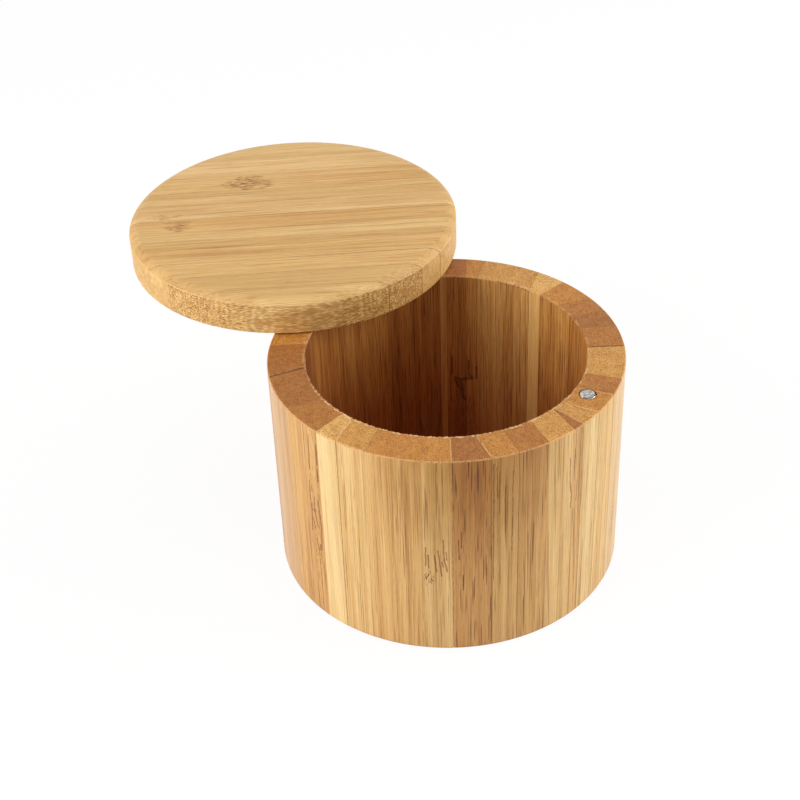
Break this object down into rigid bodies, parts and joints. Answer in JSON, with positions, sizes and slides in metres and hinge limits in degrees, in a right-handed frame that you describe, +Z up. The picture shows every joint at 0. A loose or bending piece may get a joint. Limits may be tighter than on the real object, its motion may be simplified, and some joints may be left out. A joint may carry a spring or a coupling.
{
  "type": "salt box",
  "caption": "Round stave-built bamboo salt box with a flat glued-up lid that swivels on an upright pin in the rim and is held shut by small magnets.",
  "frame": {"origin": "centre of the body's underside, on the axis of the round wall", "axes": "+Z up along the wall's axis; the magnet in the rim lies towards +X and a little -Y, and the pivot pin towards -X and a little +Y"},
  "size_m": [0.1279, 0.1431, 0.0691],
  "materials": {
    "bamboo_wall": "sanded and oiled, grain upright",
    "bamboo_base": "sanded, grain across",
    "bamboo_lid": "sanded and oiled, grain across the lid",
    "steel_pin": "ground",
    "brass_sleeve": "turned",
    "plated_magnet": "nickel plated, lightly scuffed"
  },
  "bodies": {
    "box": {"stave_01": "bamboo_wall", "stave_02": "bamboo_wall", "stave_03": "bamboo_wall", "stave_04": "bamboo_wall", "stave_05": "bamboo_wall", "stave_06": "bamboo_wall", "stave_07": "bamboo_wall", "stave_08": "bamboo_wall", "stave_09": "bamboo_wall", "stave_10": "bamboo_wall", "stave_11": "bamboo_wall", "stave_12": "bamboo_wall", "stave_13": "bamboo_wall", "stave_14": "bamboo_wall", "stave_15": "bamboo_wall", "stave_16": "bamboo_wall", "stave_17": "bamboo_wall", "stave_18": "bamboo_wall", "stave_19": "bamboo_wall", "stave_20": "bamboo_wall", "stave_21": "bamboo_wall", "stave_22": "bamboo_wall", "stave_23": "bamboo_wall", "stave_24": "bamboo_wall", "stave_25": "bamboo_wall", "stave_26": "bamboo_wall", "stave_27": "bamboo_wall", "stave_28": "bamboo_wall", "stave_29": "bamboo_wall", "stave_30": "bamboo_wall", "stave_31": "bamboo_wall", "stave_32": "bamboo_wall", "stave_33": "bamboo_wall", "stave_34": "bamboo_wall", "stave_35": "bamboo_wall", "stave_36": "bamboo_wall", "stave_37": "bamboo_wall", "stave_38": "bamboo_wall", "base_strip_1": "bamboo_base", "base_strip_2": "bamboo_base", "base_strip_3": "bamboo_base", "base_strip_4": "bamboo_base", "base_strip_5": "bamboo_base", "pivot_pin": "steel_pin", "rim_magnet": "plated_magnet"},
    "lid": {"lid_strip_01": "bamboo_lid", "lid_strip_02": "bamboo_lid", "lid_strip_03": "bamboo_lid", "lid_strip_04": "bamboo_lid", "lid_strip_05": "bamboo_lid", "lid_strip_06": "bamboo_lid", "lid_strip_07": "bamboo_lid", "lid_strip_08": "bamboo_lid", "lid_strip_09": "bamboo_lid", "lid_strip_10": "bamboo_lid", "lid_strip_11": "bamboo_lid", "pivot_sleeve": "brass_sleeve", "lid_magnet": "plated_magnet"}
  },
  "joints": [
    {"name": "lid_swivel", "type": "hinge", "parent": "box", "child": "lid", "pos_m": [-0.03543, 0.0157, 0.059], "axis": [0, 0, 1], "range_deg": [-119.3, 240.7]}
  ]
}
